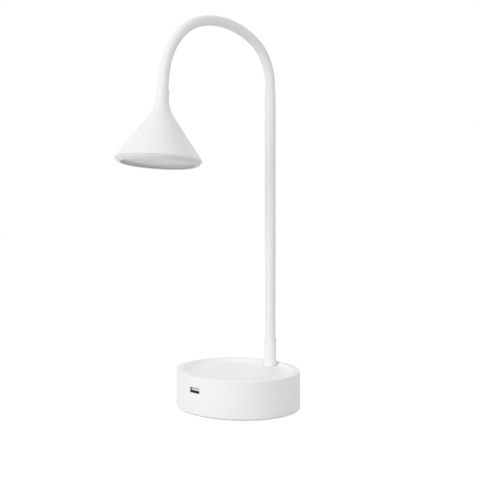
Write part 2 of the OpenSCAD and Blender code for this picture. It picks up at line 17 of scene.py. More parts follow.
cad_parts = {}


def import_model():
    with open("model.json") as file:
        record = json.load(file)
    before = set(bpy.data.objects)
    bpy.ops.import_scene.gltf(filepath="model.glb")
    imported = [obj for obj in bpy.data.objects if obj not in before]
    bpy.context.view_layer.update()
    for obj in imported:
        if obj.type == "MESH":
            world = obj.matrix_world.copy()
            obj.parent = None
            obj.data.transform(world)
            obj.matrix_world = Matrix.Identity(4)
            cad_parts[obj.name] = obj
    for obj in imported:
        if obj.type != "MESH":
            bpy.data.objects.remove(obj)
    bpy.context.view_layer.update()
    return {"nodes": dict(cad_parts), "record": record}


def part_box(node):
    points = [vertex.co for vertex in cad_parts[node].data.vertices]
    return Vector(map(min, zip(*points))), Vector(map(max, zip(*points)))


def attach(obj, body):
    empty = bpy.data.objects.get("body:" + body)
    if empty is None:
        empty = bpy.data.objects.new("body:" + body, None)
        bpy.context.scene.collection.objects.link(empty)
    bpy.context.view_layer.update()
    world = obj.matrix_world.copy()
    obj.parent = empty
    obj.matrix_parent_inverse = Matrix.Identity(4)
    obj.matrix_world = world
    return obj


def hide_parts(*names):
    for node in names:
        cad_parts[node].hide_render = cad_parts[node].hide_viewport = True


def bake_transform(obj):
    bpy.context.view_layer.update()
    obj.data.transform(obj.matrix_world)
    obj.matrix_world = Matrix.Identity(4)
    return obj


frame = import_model()
MM = 0.001


# ---------------------------------------------------------------- sizes, in millimetres

base_lo, base_hi = (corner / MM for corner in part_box("base_housing"))
collar_lo, collar_hi = (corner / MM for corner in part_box("neck_collar"))

# base
BASE_R = base_hi.x - 0.015  # the solid is faceted and a hair narrower on the other side
BASE_H = base_hi.z
FOOT_GAP = base_lo.z
WALL = 2.5
RIM_EDGE = 1.0
RIM_R = BASE_R - RIM_EDGE
FOOT_EDGE = 0.6  # radius of the wall's lower edge outside
FOOT_IN_EDGE = 0.3  # and inside
TRAY_DEPTH = 4.0
RIM_LAND = 7.1
TRAY_SLOPE = 11.4
TRAY_Z = BASE_H - TRAY_DEPTH
LAND_R = BASE_R - RIM_LAND
FLOOR_R = LAND_R - TRAY_SLOPE
LAND_FILLET = 1.5
INNER_R = BASE_R - WALL
CEIL_Z = TRAY_Z - WALL
TURN = 288  # steps round the drum

# neck well, collar and sleeve
STEM_Y = (collar_lo.y + collar_hi.y) / 2
WELL_R = 8.75
WELL_EDGE = 1.5  # half the width of the well's soft edge
WELL_TURN = 96  # steps round the well and the collar
COLLAR_R = 6.55
COLLAR_TOP = collar_hi.z
STUD_BORE = 5.05  # radius of the collar's bore for the threaded stud
STUD_TOP = TRAY_Z + 14.1
FIT = 0.05  # clearance between pieces that go into each other
SOCKET = 2  # how far the sleeve goes into the collar and into the head
NECK_R = 5.65
ARCH_R = 4.98  # radius of the narrower sleeve in the arch
TAPER = 16.0  # length over which the sleeve narrows
HOSE_R = 4.1
HOSE_BORE = 2.8
HOSE_PITCH = 2.2
HOSE_SET = 0.06  # how far the crests of its turns stay inside its outer radius
HOSE_GROOVE = 0.18  # depth between its turns
LEAD_R = 1.9
LEAD_Z = 23.2  # where the lead leaves its terminal in the base
ARCH_Z = 327.4  # top of the straight stem
ARCH = [(47.6, 63.4), (105.8, 41.3), (68.9, 70.1)]  # radius and angle of each bend
NECK_TAIL = 12.0  # straight length between the arch and the head
SWAY_Z = 92.0
LEAN_Z = 146.0
STALK_Z = 250.0  # where the second length of the neck ends and the third begins
TILT_A = 148.0  # how far the arch has turned at the hinge next to the head

# ports: outer sizes of the shells and of the holes in the wall, across and up
PORT_Z = BASE_H - 13.0
PORT_A = -math.pi / 2 + 0.6 / BASE_R  # the port stands a touch to the right in the photograph
USB_A = (13.1, 5.7)
USB_A_HOLE = (USB_A[0] - 0.8, USB_A[1] - 0.6)
USB_A_BACK = BASE_R - 1.2 - 13.7  # distance of the shell's back from the drum's axis
USB_C = (8.94, 3.26)
USB_C_HOLE = (USB_C[0] + 0.6, USB_C[1] + 0.6)
USB_C_BACK = BASE_R - 0.9 - 7.05
USB_C_A = math.pi / 2
USB_C_Z = BASE_H - 12.8 - USB_A[1] / 2 - 1.6 - USB_C[1] / 2  # under the board, which is 1.6 thick
PORT_EDGE = 0.12  # radius of a hole's edge
SHELL_T = 0.3
SHELL_MOUTH = BASE_R - 0.9  # distance of both shells' mouths from the drum's axis

# head, with t measured up its axis from the funnel's widest edge
HEAD_R = 40.2
CONE_A = math.radians(36)
FLARE_R = 32.0
THROAT_R = 5.95
HEAD_LEN = 64.0
LIP_R = 1.2
SHADE_T = 1.5
RING_DROP = 3.4
RECESS = 3.2
MOUTH_R = 34.6
TRIM_R = 36.3
GROOVE_R = MOUTH_R + 0.9  # outer radius of the groove for the dark seal, which paints shade in the mouth's recess
HAIR = 0.02  # gap between the trim and what it lies against
LIP_T = LIP_R * (1 - math.cos(CONE_A)) / math.tan(CONE_A) - LIP_R * math.sin(CONE_A)
LIP_Z = LIP_T - LIP_R
RING_Z = LIP_Z - RING_DROP
LEDGE_Z = RING_Z + RECESS
# span of the dark seal, a line of painted shade in the mouth's recess
SHADE_SEAL_Z = RING_Z + 1.1
SHADE_SEAL_TOP = SHADE_SEAL_Z + 0.38
STEP_Z = LEDGE_Z + 2.1
SPIGOT_Z = STEP_Z + 2.2
FLARE_T = (HEAD_R - THROAT_R) / math.tan(CONE_A)
CEIL_T = FLARE_T - 7
INNER_OFF = SHADE_T / math.cos(CONE_A)
HEAD_TURN = 240  # steps round the head


# ---------------------------------------------------------------- mesh building


class Skin:
    """One surface gathered patch by patch, in millimetres. Each patch brings its own normals, so
    that a seam between two patches is smooth where their normals agree and crisp elsewhere."""

    def __init__(self):
        self.points = np.empty((0, 3))
        self.normals = np.empty((0, 3))
        self.faces = []

    def add(self, points, normals, faces):
        """Adds a patch. All its faces have three corners, or all have four."""
        points, normals = np.array(points, float), np.array(normals, float)
        faces = np.array(faces)
        across = points[faces[:, 2]] - points[faces[:, 0]]
        along = points[faces[:, -1]] - points[faces[:, 1]]
        inward = (np.cross(across, along) * normals[faces].sum(1)).sum(1) < 0
        faces[inward] = faces[inward][:, ::-1]
        self.faces.append(faces + len(self.points))
        self.points = np.vstack([self.points, points])
        self.normals = np.vstack([self.normals, normals])

    def build(self, name):
        """The finished object, with patches joined wherever their points coincide."""
        _, first, index = np.unique(np.round(self.points, 4), axis=0, return_index=True,
                                    return_inverse=True)
        index = index.ravel()
        faces, corners = [], []
        for patch in self.faces:
            for ring in patch.tolist():
                joined = [index[i] for i in ring]
                kept = [k for k in range(len(ring)) if joined[k] != joined[k - 1]]
                if len(kept) > 2:
                    faces.append([joined[k] for k in kept])
                    corners += [ring[k] for k in kept]
        mesh = bpy.data.meshes.new(name)
        mesh.from_pydata((self.points[first] * MM).tolist(), [], faces)
        mesh.polygons.foreach_set("use_smooth", [True] * len(faces))
        mesh.normals_split_custom_set(self.normals[corners].tolist())
        piece = bpy.data.objects.new(name, mesh)
        bpy.context.scene.collection.objects.link(piece)
        return piece


def unit(v):
    """v, one unit long."""
    v = np.asarray(v, float)
    return v / np.linalg.norm(v)


def rounded(corners, closed=False, steps=8):
    """Runs of (point, normal) along an outline whose corners are (x, y, fillet radius). The normal
    is on the right of the way along. A corner with no radius stays sharp, with two normals."""
    n = len(corners)
    out = []
    for i, (x, y, radius) in enumerate(corners):
        p = np.array([x, y], float)
        before = np.array(corners[i - 1][:2], float) if closed or i else None
        after = np.array(corners[(i + 1) % n][:2], float) if closed or i < n - 1 else None
        d0 = unit(p - before) if before is not None else unit(after - p)
        d1 = unit(after - p) if after is not None else d0
        turn = math.atan2(d0[0] * d1[1] - d0[1] * d1[0], d0 @ d1)
        right0, right1 = np.array([d0[1], -d0[0]]), np.array([d1[1], -d1[0]])
        if radius <= 0 or abs(turn) < 1e-6:
            out.append((p, right0))
            if abs(turn) >= 1e-6:
                out.append((p, right1))
            continue
        start = p - d0 * radius * math.tan(abs(turn) / 2)
        side = math.copysign(1, turn)
        centre = start - right0 * radius * side
        count = max(2, int(round(steps * abs(turn) / (math.pi / 2) * max(1, radius ** 0.5))))
        for k in range(count + 1):
            a = turn * k / count
            normal = np.array([right0[0] * math.cos(a) - right0[1] * math.sin(a),
                               right0[0] * math.sin(a) + right0[1] * math.cos(a)])
            out.append((centre + normal * radius * side, normal))
    if closed:
        out.append(out[0])
    return out


def circle(radius, count, y=0.0):
    """Points of a circle round (0, y)."""
    angles = [2 * math.pi * k / count for k in range(count)]
    return [(radius * math.cos(a), y + radius * math.sin(a)) for a in angles]


def strip(rings, sides):
    """Faces between rings of points, each ring closed on itself and numbered after the last."""
    return [(i * sides + k, i * sides + (k + 1) % sides, (i + 1) * sides + (k + 1) % sides,
             (i + 1) * sides + k) for i in range(rings) for k in range(sides)]


def revolve(skin, run, turn, place=None):
    """Adds the solid of revolution of a run of (point, normal) in the plane (r, z)."""
    place = np.array(place or Matrix.Identity(4))
    angles = np.arange(turn) * 2 * math.pi / turn
    spokes = np.stack([np.cos(angles), np.sin(angles), 0 * angles], 1)
    up = np.array([0, 0, 1])
    points = np.vstack([spokes * p[0] + up * p[1] for p, _ in run])
    normals = np.vstack([spokes * n[0] + up * n[1] for _, n in run])
    points = points @ place[:3, :3].T + place[:3, 3]
    normals = normals @ place[:3, :3].T
    faces = []
    for i in range(len(run) - 1):
        if np.linalg.norm(np.subtract(run[i][0], run[i + 1][0])) > 1e-7:
            faces += [tuple(i * turn + c for c in face) for face in strip(1, turn)]
    skin.add(points, normals, faces)


def turned(name, outline, turn=192, place=None, closed=True, steps=8):
    """A turned piece from the corners of its outline."""
    skin = Skin()
    revolve(skin, rounded(outline, closed=closed, steps=steps), turn, place)
    return skin.build(name)


def filled(points, loops, inside):
    """Triangles over a plane set of points, with each loop of it kept as an edge. A triangle stays
    if inside(its middle) says so. Returns the points and the triangles."""
    flat = [Vector(p) for p in points]
    edges = []
    for loop in loops:
        first = len(flat)
        flat += [Vector(p) for p in loop]
        edges += [(first + k, first + (k + 1) % len(loop)) for k in range(len(loop))]
    coords, _, faces, *_ = delaunay_2d_cdt(flat, edges, [], 0, 1e-6)
    coords = [tuple(c) for c in coords]
    kept = [f for f in faces if inside(sum(np.array(coords[i]) for i in f) / 3)]
    return coords, kept


def in_loop(point, loop):
    """True if the point is inside the closed loop, both in one plane."""
    inside = False
    for (x0, y0), (x1, y1) in zip(loop, loop[1:] + loop[:1]):
        if (y0 > point[1]) != (y1 > point[1]):
            if point[0] < x0 + (point[1] - y0) / (y1 - y0) * (x1 - x0):
                inside = not inside
    return inside


# ---------------------------------------------------------------- base housing


def tray_outline():
    """Outline of the dished top, from its centre out to the rim's rounded edge. Nearly all of the
    slope is one wide fillet at its foot, which takes what the land's own fillet leaves of it."""
    rise = math.atan2(TRAY_DEPTH, TRAY_SLOPE)
    foot = TRAY_SLOPE - TRAY_DEPTH / math.tan(2 * rise)
    slope = math.hypot(TRAY_SLOPE - foot, TRAY_DEPTH)
    straight = 0.05
    spare = slope - LAND_FILLET * math.tan(rise) - straight
    return rounded([(0, TRAY_Z, 0), (FLOOR_R + foot, TRAY_Z, spare / math.tan(rise)),
                    (LAND_R, BASE_H, LAND_FILLET), (RIM_R, BASE_H, 0)])


def housing_top(skin):
    """The dished top as a height field, with the round well that the neck stands in."""
    run = tray_outline()
    radii = np.array([p[0] for p, _ in run])
    heights = np.array([p[1] for p, _ in run])
    slopes = np.array([-n[0] / -n[1] if n[1] else 0 for _, n in run])

    def surface(x, y):
        """Height and normal of the top at a point."""
        r = math.hypot(x, y)
        z = np.interp(r, radii, heights)
        grad = -np.interp(r, radii, slopes) * np.array([x, y]) / max(r, 1e-6)
        d = math.hypot(x, y - STEM_Y)
        u = min(max((d - WELL_R + WELL_EDGE) / (2 * WELL_EDGE), 0), 1)
        share = u * u * (3 - 2 * u)
        steep = 6 * u * (1 - u) / (2 * WELL_EDGE)
        away = np.array([x, y - STEM_Y]) / max(d, 1e-6)
        grad = share * grad + (z - TRAY_Z) * steep * away
        return TRAY_Z + (z - TRAY_Z) * share, unit([-grad[0], -grad[1], 1])

    rings = [(r, TURN) for r in radii if FLOOR_R - 1 < r < RIM_R - 0.01]
    rings += [(r, TURN) for r in np.linspace(LAND_R + 1.5, RIM_R - 1, 4)]
    floor_steps = 8
    rings += [(FLOOR_R * k / floor_steps, TURN * k // floor_steps) for k in range(1, floor_steps)]
    points = [(0.0, 0.0)]
    for r, count in rings:
        points += circle(r, count)
    clear = WELL_R + WELL_EDGE + 0.35
    points = [p for p in points if math.hypot(p[0], p[1] - STEM_Y) > clear]
    for d in [*np.linspace(WELL_R - WELL_EDGE, WELL_R + WELL_EDGE, 13), 5.0]:
        points += circle(d, WELL_TURN, STEM_Y)
    coords, faces = filled(points, [circle(RIM_R, TURN)], lambda m: True)
    placed = [surface(x, y) for x, y in coords]
    skin.add([(x, y, z) for (x, y), (z, _) in zip(coords, placed)], [n for _, n in placed], faces)


def drum_wall(skin, radius, z0, z1, rows, holes, outward):
    """A wall of the drum between two heights, unrolled, cut by holes and rolled up again. A hole
    is (angle of its middle, height, loop of (x, z) round it)."""
    around = 2 * math.pi * radius
    loops = []
    for angle, height, loop in holes:
        loops.append([(radius * (angle + math.asin(x / radius)), height + z) for x, z in loop])
    spans = [(np.min(loop, axis=0), np.max(loop, axis=0)) for loop in loops]
    points = []
    for k in range(TURN + 1):
        points += [(around * k / TURN, z0 + (z1 - z0) * j / rows) for j in range(rows + 1)]
    clear = 0.5
    for low, high in spans:
        points = [p for p in points if not ((low - clear < p) & (p < high + clear)).all()]
    for loop, (low, high) in zip(loops, spans):
        middle, size = (low + high) / 2, (high - low) / 2
        for grow in (0.35, 1.0):
            points += [tuple(middle + (np.array(p) - middle) * (1 + grow / size)) for p in loop]

    def outside_holes(m):
        return not any(in_loop(m, loop) for loop in loops)

    coords, faces = filled(points, loops, outside_holes)
    side = 1 if outward else -1
    angles = [s / radius for s, _ in coords]
    skin.add([(radius * math.cos(a), radius * math.sin(a), z) for a, (_, z) in zip(angles, coords)],
             [(side * math.cos(a), side * math.sin(a), 0) for a in angles], faces)


def port_frame(angle):
    """Unit vectors at a port: out of the wall, across it and up."""
    return (np.array([math.cos(angle), math.sin(angle), 0]),
            np.array([-math.sin(angle), math.cos(angle), 0]), np.array([0, 0, 1]))


def port_loop(width, height, corner):
    """Outline of a flat box with rounded corners, as points and outward normals in its plane. On
    its long sides the points are close enough together to follow the round wall."""
    corner_steps, side_steps = 5, 8
    loop, loop_normals = [], []
    for quarter, (sx, sz) in enumerate([(1, 1), (-1, 1), (-1, -1), (1, -1)]):
        centre = np.array([sx * (width / 2 - corner), sz * (height / 2 - corner)])
        for k in range(corner_steps + 1):
            a = math.pi / 2 * (quarter + k / corner_steps)
            normal = np.array([math.cos(a), math.sin(a)])
            loop.append(centre + normal * corner)
            loop_normals.append(normal)
    points, normals = [], []
    for k, (p, normal) in enumerate(zip(loop, loop_normals)):
        way = loop[(k + 1) % len(loop)] - p
        is_side = k % (corner_steps + 1) == corner_steps
        count = side_steps if is_side and np.linalg.norm(way) > 1.0 else 1
        points += [tuple(p + way * j / count) for j in range(count)]
        normals += [normal] * count
    return points, normals


def port_tunnel(skin, angle, height, rings):
    """The walls of a port's way in. A ring is (width, height, corner radius, radius of the drum
    wall that it lies on, share of the normal that points out of the wall)."""
    out, across, up = port_frame(angle)
    points, normals = [], []
    for width, tall, corner, wall_r, lean in rings:
        loop, loop_normals = port_loop(width, tall, corner)
        for (x, z), (nx, nz) in zip(loop, loop_normals):
            reach = math.sqrt(wall_r ** 2 - x ** 2)
            points.append(across * x + out * reach + up * (height + z))
            normals.append(unit(-(across * nx + up * nz) * (1 - lean) + out * lean))
    skin.add(points, normals, strip(len(rings) - 1, len(points) // len(rings)))


def base_housing():
    """The moulded drum: dished top, rounded rim, wall with two ports, and its hollow underside."""
    skin = Skin()
    housing_top(skin)
    rim = rounded([(BASE_R - 3, BASE_H, 0), (BASE_R, BASE_H, RIM_EDGE), (BASE_R, BASE_H - 3, 0)])
    foot = rounded([(BASE_R, FOOT_GAP + 3, 0), (BASE_R, FOOT_GAP, FOOT_EDGE),
                    (INNER_R, FOOT_GAP, FOOT_IN_EDGE), (INNER_R, FOOT_GAP + 3, 0)])
    for run in (rim, foot):
        revolve(skin, [(p, -n) for p, n in run[1:-1]], TURN)

    # angle, height, size and corner of the hole, wall left outside the pocket behind it, and how
    # far the pocket reaches past the hole
    ports = [(PORT_A + 2 * math.pi, PORT_Z, USB_A_HOLE, 0.5, 0.5, 0.5),
             (USB_C_A, USB_C_Z, USB_C_HOLE, USB_C[1] / 2 + 0.25, 0.8, 0.0)]
    edge_steps = 4
    outer, inner = [], []
    for angle, height, (width, tall), corner, skin_t, step in ports:
        hole = (width, tall, corner)
        pocket = (width + 2 * step, tall + 2 * step, corner)
        rings = []
        for k in range(edge_steps + 1):
            a = math.pi / 2 * k / edge_steps
            grow = PORT_EDGE * (1 - math.sin(a))
            rings.append((width + 2 * grow, tall + 2 * grow, corner + grow,
                          BASE_R - PORT_EDGE * (1 - math.cos(a)), math.cos(a)))
        outer.append((angle, height, port_loop(*rings[0][:3])[0]))
        inner.append((angle, height, port_loop(*pocket)[0]))
        rings.append((*hole, BASE_R - skin_t, 0))
        if step:
            rings += [(*hole, BASE_R - skin_t, -1), (*pocket, BASE_R - skin_t, -1),
                      (*pocket, BASE_R - skin_t, 0)]
        rings.append((*pocket, INNER_R, 0))
        port_tunnel(skin, angle, height, rings)
    drum_wall(skin, BASE_R, FOOT_GAP + FOOT_EDGE, BASE_H - RIM_EDGE, 20, outer, True)
    drum_wall(skin, INNER_R, FOOT_GAP + FOOT_IN_EDGE, CEIL_Z, 16, inner, False)
    revolve(skin, [((INNER_R, CEIL_Z), (0, -1)), ((0.0, CEIL_Z), (0, -1))], TURN)
    return skin.build("housing")


# ---------------------------------------------------------------- ports


def drawn_shell(name, angle, height, size, corner, back):
    """A port's drawn metal shell: thin walls, a rounded mouth and a closed back."""
    out, across, up = port_frame(angle)
    outer, normals = port_loop(*size, corner)
    inner = port_loop(size[0] - 2 * SHELL_T, size[1] - 2 * SHELL_T, corner - SHELL_T)[0]
    centre = [(0.0, 0.0)] * len(outer)
    lip = SHELL_T / 2

    def between(share):
        return [tuple(np.add(p, np.subtract(q, p) * share)) for p, q in zip(outer, inner)]

    # loop, depth, share of the normal that points away from the shell's middle, and share that
    # points out of the wall
    rows = [(centre, back - SHELL_T, 0, -1), (outer, back - SHELL_T, 0, -1),
            (outer, back - SHELL_T, 1, 0), (outer, SHELL_MOUTH - lip, 1, 0),
            (between(0.15), SHELL_MOUTH - lip * 0.3, 0.7, 0.7), (between(0.5), SHELL_MOUTH, 0, 1),
            (between(0.85), SHELL_MOUTH - lip * 0.3, -0.7, 0.7), (inner, SHELL_MOUTH - lip, -1, 0),
            (inner, back, -1, 0), (inner, back, 0, 1), (centre, back, 0, 1)]
    skin = Skin()
    for first, second in zip(rows, rows[1:]):
        if first[:2] == second[:2]:
            continue
        points, leans = [], []
        for loop, depth, side, ahead in (first, second):
            for (x, z), (nx, nz) in zip(loop, normals):
                points.append(across * x + out * depth + up * (height + z))
                leans.append(unit((across * nx + up * nz) * side + out * ahead))
        skin.add(points, leans, strip(1, len(outer)))
    return skin.build(name)


def signed(signs):
    """The three signs of a corner, edge or face of a box from {axis: sign}, 0 along other axes."""
    return tuple(signs.get(axis, 0) for axis in range(3))


def soft_block(skin, spans, chamfer, turned_by):
    """A box with chamfered edges over its (low, high) span on each axis, turned about the axis of
    the drum."""
    spin = np.array(Matrix.Rotation(turned_by, 3, "Z"))
    corners = [(x, y, z) for z in (-1, 1) for y in (-1, 1) for x in (-1, 1)]
    tips = {}
    for axis in range(3):
        for sides in corners:
            insets = [0 if a == axis else chamfer for a in range(3)]
            tips[axis, sides] = spin @ [low + inset if side < 0 else high - inset
                                        for (low, high), side, inset in zip(spans, sides, insets)]

    def facet(keys, facing):
        skin.add([tips[key] for key in keys], [spin @ unit(facing)] * len(keys),
                 [tuple(range(len(keys)))])

    others = [(0, 1, 2), (1, 0, 2), (2, 0, 1)]
    for axis, a, b in others:
        for side in (-1, 1):
            around = [{axis: side, a: sa, b: sb} for sa, sb in ((-1, -1), (1, -1), (1, 1), (-1, 1))]
            facet([(axis, signed(signs)) for signs in around], signed({axis: side}))
    for along, a, b in others:
        for sa in (-1, 1):
            for sb in (-1, 1):
                low, high = (signed({along: end, a: sa, b: sb}) for end in (-1, 1))
                facet([(a, low), (a, high), (b, high), (b, low)], signed({a: sa, b: sb}))
    for sides in corners:
        facet([(axis, sides) for axis in range(3)], sides)


def block_piece(name, blocks, turned_by=0.0):
    """One piece from chamfered boxes, each (span on X, span on Y, span on Z, chamfer)."""
    skin = Skin()
    for *spans, chamfer in blocks:
        soft_block(skin, spans, chamfer, turned_by)
    return skin.build(name)


def about(middle, half):
    """The span that reaches half to either side of middle."""
    return middle - half, middle + half


def usb_a_pieces():
    """The charging port, drawn facing -Y and turned to its place: shell, tongue on its moulded
    block, and contacts. Returns (piece, slot, node it replaces)."""
    turned_by = PORT_A + math.pi / 2
    half_w, half_h = (side / 2 - SHELL_T - FIT for side in USB_A)
    tongue_lo, tongue_hi = PORT_Z - 0.45, PORT_Z + 1.2
    block = (about(0, half_w), (-USB_A_BACK - 2.65, -USB_A_BACK - 0.05), about(PORT_Z, half_h), 0.1)
    tongue = (about(0, 5.55), (1.1 - SHELL_MOUTH, -USB_A_BACK - 2.0), (tongue_lo, tongue_hi), 0.22)
    contacts = [(about(x, 0.5), (1.75 - SHELL_MOUTH, 9.0 - SHELL_MOUTH),
                 (tongue_lo - 0.07, tongue_lo + 0.1), 0.03) for x in (-3.5, -1.0, 1.0, 3.5)]
    return [(drawn_shell("usb_a_can", PORT_A, PORT_Z, USB_A, 0.6, USB_A_BACK), "port_steel",
             "usb_a_shell"),
            (block_piece("usb_a_blade", [block, tongue], turned_by), "port_white", "usb_a_tongue"),
            (block_piece("usb_a_contacts", contacts, turned_by), "pin_gold", None)]


def usb_c_pieces():
    """The power inlet at the back, with the same pieces as the charging port."""
    block = (about(0, 2.6), (USB_C_BACK + 0.05, USB_C_BACK + 1.35), about(USB_C_Z, 1.2), 0.1)
    tongue = (about(0, 3.35), (USB_C_BACK + 0.6, USB_C_BACK + 6.35), about(USB_C_Z, 0.35), 0.12)
    contacts = [(about(x, 0.13), (USB_C_BACK + 1.7, USB_C_BACK + 5.6),
                 about(USB_C_Z + side * 0.35, 0.04), 0.01)
                for side in (-1, 1) for x in np.arange(-2.75, 2.8, 0.5)]
    corner = USB_C[1] / 2 - 0.001
    return [(drawn_shell("usb_c_can", USB_C_A, USB_C_Z, USB_C, corner, USB_C_BACK), "port_steel",
             "usb_c_shell"),
            (block_piece("usb_c_blade", [block, tongue]), "port_black", "usb_c_tongue"),
            (block_piece("usb_c_contacts", contacts), "pin_gold", None)]


# ---------------------------------------------------------------- neck


def neck_place(s):
    """Point and heading of the neck's middle line, s millimetres up from the table at the stem."""
    y, z, turned_by = STEM_Y, 0.0, 0.0
    bends = [(radius * math.radians(angle), radius) for radius, angle in ARCH]
    for length, radius in [(ARCH_Z, None), *bends, (math.inf, None)]:
        step = min(s, length)
        if radius is None:
            y, z = y - math.sin(turned_by) * step, z + math.cos(turned_by) * step
        else:
            turn = step / radius
            cy, cz = y - radius * math.cos(turned_by), z - radius * math.sin(turned_by)
            turned_by += turn
            y, z = cy + radius * math.cos(turned_by), cz + radius * math.sin(turned_by)
        s -= step
        if s <= 0:
            break
    return np.array([0, y, z]), np.array([0, -math.sin(turned_by), math.cos(turned_by)])


def arch_length(angle):
    """Distance along the neck to the place where the arch has turned by angle, in degrees."""
    s = ARCH_Z
    for radius, bend in ARCH:
        s += radius * math.radians(min(max(angle, 0), bend))
        angle -= bend
    return s


CROWN_S = arch_length(ARCH[0][1])
TILT_S = arch_length(TILT_A)
ARCH_END_S = arch_length(180)
THROAT_S = ARCH_END_S + NECK_TAIL


def neck_radius(s):
    """Outer radius of the sleeve: it narrows just below the arch."""
    share = min(max((ARCH_Z - s) / TAPER, 0), 1)
    return ARCH_R + (NECK_R - ARCH_R) * share * share * (3 - 2 * share)


def neck_tube(name, s0, s1, outer, inner, spacing, sides):
    """A tube along the neck between two distances, or a rod where inner is 0. outer is a function
    of the distance."""
    rings = max(2, int(round((s1 - s0) / spacing)))
    stations = np.linspace(s0, s1, rings + 1)
    middles, headings = (np.array(v) for v in zip(*(neck_place(s) for s in stations)))
    angles = np.arange(sides) * 2 * math.pi / sides
    right = np.array([1.0, 0, 0])
    ups = np.cross(headings, right)
    spokes = right * np.cos(angles)[None, :, None] + ups[:, None, :] * np.sin(angles)[None, :, None]
    radii = np.array([outer(s) for s in stations])
    leans = np.gradient(radii, stations)
    outside = middles[:, None] + spokes * radii[:, None, None]
    inside = middles[:, None] + spokes * inner
    outward = spokes - headings[:, None] * leans[:, None, None]
    skin = Skin()
    for points, normals in ((outside, outward), (inside, -spokes)):
        skin.add(points.reshape(-1, 3), normals.reshape(-1, 3), strip(rings, sides))
    for end, sign in ((0, -1), (-1, 1)):
        ring = np.vstack([outside[end], inside[end]])
        skin.add(ring, [headings[end] * sign] * len(ring), strip(1, sides))
    return skin.build(name)


def wound_radius(s):
    """Outer radius of the wound hose."""
    return HOSE_R - HOSE_SET - HOSE_GROOVE * math.sin(math.pi * s / HOSE_PITCH) ** 2


def lead_radius(s):
    """Outer radius of the lead, the same all along."""
    return LEAD_R


def neck_pieces():
    """The sleeve, the wound hose in it and the lead in that, each in four lengths that each span one
    of the neck's hinges. The last one stands for two of the model's lengths, on either side of its
    hinge."""
    # parent body, child body, place of the hinge along the neck, reach of the bend to either side
    joints = [("base", "neck_low", SWAY_Z, 26.0),
              ("neck_low", "neck_stalk", LEAN_Z, 26.0),
              ("neck_stalk", "neck_crown", CROWN_S, 30.0),
              ("neck_crown", "lamp_head", TILT_S, 25.0)]
    # slot, lower end, upper end, outer radius, inner radius, spacing of rings, sides
    layers = {
        "sleeve": ("sleeve_white", COLLAR_TOP - SOCKET, THROAT_S + SOCKET, neck_radius,
                   HOSE_R + FIT, 1.5, 48),
        "hose": ("hose_steel", STUD_TOP, THROAT_S + 9.9, wound_radius, HOSE_BORE, 0.55, 24),
        "lead": ("lead_grey", LEAD_Z, THROAT_S + HEAD_LEN - STEP_Z - 0.7, lead_radius, 0, 1.5, 20),
    }
    for layer, (slot, low, high, outer, inner, spacing, sides) in layers.items():
        ends = [low, (SWAY_Z + LEAN_Z) / 2, STALK_Z, (CROWN_S + TILT_S) / 2, high]
        for i, (body_a, body_b, centre, reach) in enumerate(joints):
            middle, heading = neck_place(centre)
            name = f"{layer}_{i + 1}"
            piece = neck_tube(name, ends[i], ends[i + 1], outer, inner, spacing, sides)
            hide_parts(f"neck_{layer}_{i + 1}")
            if i == 3:
                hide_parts(f"neck_{layer}_5")
            dress(piece, slot)
            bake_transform(piece)


def neck_collar():
    """The slim collar at the foot of the neck."""
    socket_z, socket_r, bore = COLLAR_TOP - SOCKET, NECK_R + FIT, HOSE_R + FIT
    outline = [(bore, socket_z, 0), (bore, STUD_TOP, 0), (STUD_BORE, STUD_TOP, 0),
               (STUD_BORE, TRAY_Z, 0), (COLLAR_R, TRAY_Z, 0), (COLLAR_R, COLLAR_TOP, 0.6),
               (socket_r, COLLAR_TOP, 0.15), (socket_r, socket_z, 0)]
    return turned("collar", outline, WELL_TURN, Matrix.Translation((0, STEM_Y, 0)))


# ---------------------------------------------------------------- head


def head_place():
    """Matrix that carries the head's own frame, t up its axis, to its place on the lamp."""
    throat, heading = neck_place(THROAT_S)
    rim = throat + heading * HEAD_LEN
    tilt = math.atan2(-heading[1], -heading[2])
    return Matrix.Translation(rim) @ Matrix.Rotation(-tilt, 4, "X")


def lamp_shade():
    """The painted funnel: rounded lip, cone, flare and throat, open inside."""
    slope = math.tan(CONE_A)
    seat_r = HEAD_R - 2.9
    seat_t = (HEAD_R - INNER_OFF - seat_r) / slope
    bore, socket_r, socket_t = HOSE_R + FIT, ARCH_R + FIT, HEAD_LEN - SOCKET
    outline = [(seat_r, LIP_Z, 0.25), (HEAD_R - LIP_Z * slope, LIP_Z, LIP_R),
               (THROAT_R, FLARE_T, FLARE_R), (THROAT_R, HEAD_LEN, 0.25),
               (socket_r, HEAD_LEN, 0.05), (socket_r, socket_t, 0), (bore, socket_t, 0),
               (bore, CEIL_T, 0), (HEAD_R - INNER_OFF - CEIL_T * slope, CEIL_T, 1.0),
               (seat_r, seat_t, 0.3)]
    return turned("shade", outline, HEAD_TURN, head_place(), steps=10)


